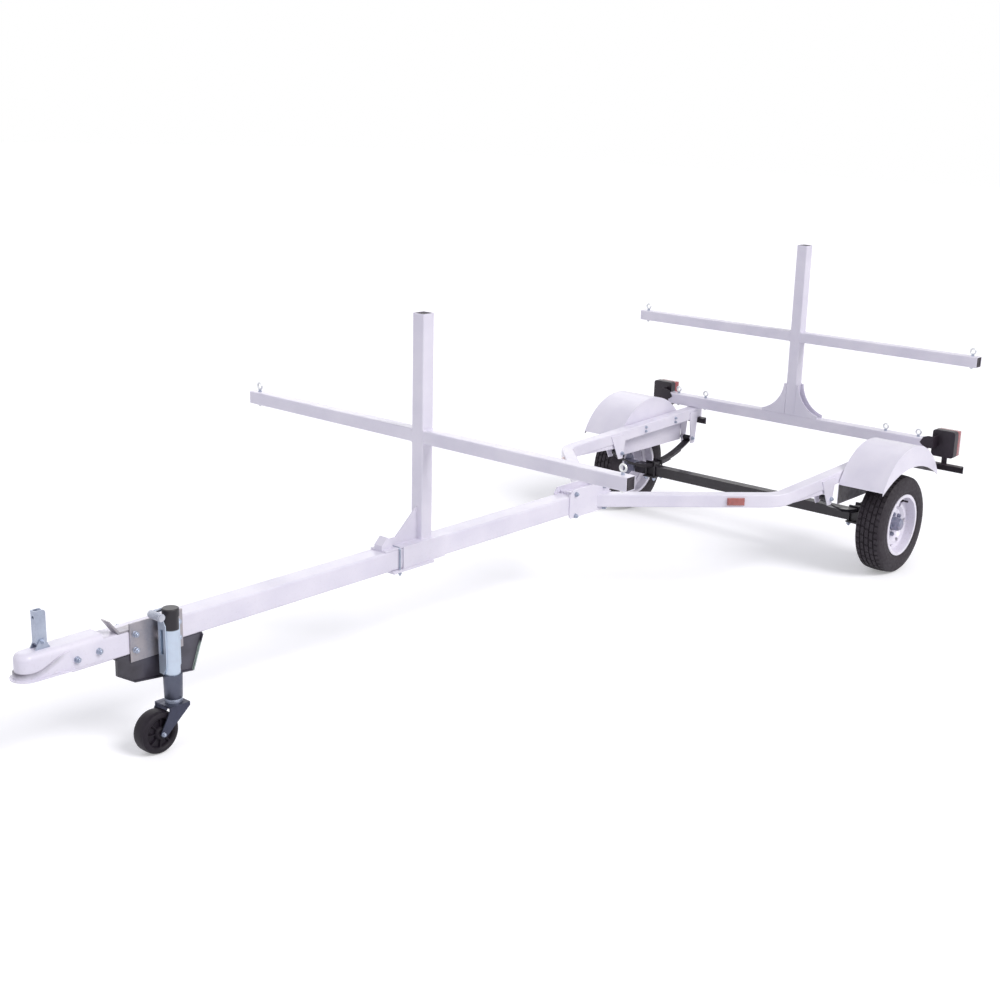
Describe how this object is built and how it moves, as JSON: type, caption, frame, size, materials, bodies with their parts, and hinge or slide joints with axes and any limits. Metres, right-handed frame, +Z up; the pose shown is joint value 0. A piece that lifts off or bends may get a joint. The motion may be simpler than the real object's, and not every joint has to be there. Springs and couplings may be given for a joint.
{
  "type": "boat trailer",
  "caption": "Light single-tongue trailer with two T racks that carry small boats side by side.",
  "frame": {"origin": "on the floor below the middle of the trailer's length and width", "axes": "+X forward to the coupler, +Y to the trailer's left, +Z up"},
  "size_m": [5.1515, 2.16, 1.6275],
  "materials": {
    "frame_paint": "white enamel, lightly worn",
    "axle_paint": "black enamel",
    "spring_steel": "black, dull",
    "zinc": "zinc plated, slightly dulled",
    "wheel_paint": "white enamel",
    "hub_steel": "grey painted hub",
    "tyre_rubber": "black rubber",
    "caster_plastic": "black moulded",
    "grip_plastic": "black moulded",
    "lamp_housing": "black moulded",
    "red_lens": "red lens",
    "amber_lens": "amber lens"
  },
  "bodies": {
    "frame": {"tongue_tube": "frame_paint", "saddle_clamp": "frame_paint", "rear_crossmember": "frame_paint", "rear_post": "frame_paint", "rear_crossbar": "frame_paint", "rear_post_gussets": "frame_paint", "front_post": "frame_paint", "front_crossbar": "frame_paint", "front_post_base": "frame_paint", "front_tie_down_eyes": "zinc", "rear_tie_down_eyes": "zinc", "crossmember_eyes": "zinc", "axle_beam": "axle_paint", "coupler_body": "frame_paint", "coupler_socket": "zinc", "latch_ears": "zinc", "jack_mount": "zinc", "jack_backing_plate": "axle_paint", "left_side_rail": "frame_paint", "right_side_rail": "frame_paint", "left_leaf_spring": "spring_steel", "right_leaf_spring": "spring_steel", "left_spring_hangers": "frame_paint", "right_spring_hangers": "frame_paint", "left_axle_clamp": "axle_paint", "right_axle_clamp": "axle_paint", "left_fender": "frame_paint", "right_fender": "frame_paint", "left_fender_straps": "frame_paint", "right_fender_straps": "frame_paint", "left_lamp_arm": "lamp_housing", "right_lamp_arm": "lamp_housing", "left_tail_lamp": "lamp_housing", "right_tail_lamp": "lamp_housing", "left_tail_lens": "red_lens", "right_tail_lens": "red_lens", "left_side_marker": "amber_lens", "right_side_marker": "amber_lens"},
    "left_wheel": {"left_tyre": "tyre_rubber", "left_rim": "wheel_paint", "left_hub": "hub_steel"},
    "right_wheel": {"right_tyre": "tyre_rubber", "right_rim": "wheel_paint", "right_hub": "hub_steel"},
    "jack": {"jack_outer_tube": "zinc", "jack_crank": "zinc"},
    "jack_leg": {"jack_inner_leg": "zinc"},
    "caster_swivel": {"caster_fork": "zinc"},
    "caster": {"caster_wheel": "caster_plastic"},
    "latch": {"coupler_latch": "zinc"}
  },
  "joints": [
    {"name": "left_wheel_spin", "type": "hinge", "parent": "frame", "child": "left_wheel", "pos_m": [-2.07596, 0.8575, 0.2605], "axis": [0, 1, 0], "continuous": true},
    {"name": "right_wheel_spin", "type": "hinge", "parent": "frame", "child": "right_wheel", "pos_m": [-2.07596, -0.8575, 0.2605], "axis": [0, 1, 0], "continuous": true},
    {"name": "jack_swing", "type": "hinge", "parent": "frame", "child": "jack", "pos_m": [2.00466, 0.103, 0.41667], "axis": [0, 1, 0], "range_deg": [0, 90]},
    {"name": "jack_extend", "type": "slide", "parent": "jack", "child": "jack_leg", "axis": [-0.0267, 0, -0.9996], "range_m": [0, 0.25]},
    {"name": "caster_turn", "type": "hinge", "parent": "jack_leg", "child": "caster_swivel", "pos_m": [1.99818, 0.103, 0.17375], "axis": [0.0267, 0, 0.9996], "continuous": true},
    {"name": "caster_spin", "type": "hinge", "parent": "caster_swivel", "child": "caster", "pos_m": [2.0777, 0.103, 0.08], "axis": [0, 1, 0], "continuous": true},
    {"name": "latch_fold", "type": "hinge", "parent": "frame", "child": "latch", "pos_m": [2.46684, 0, 0.49231], "axis": [0, -1, 0], "range_deg": [0, 80]}
  ]
}
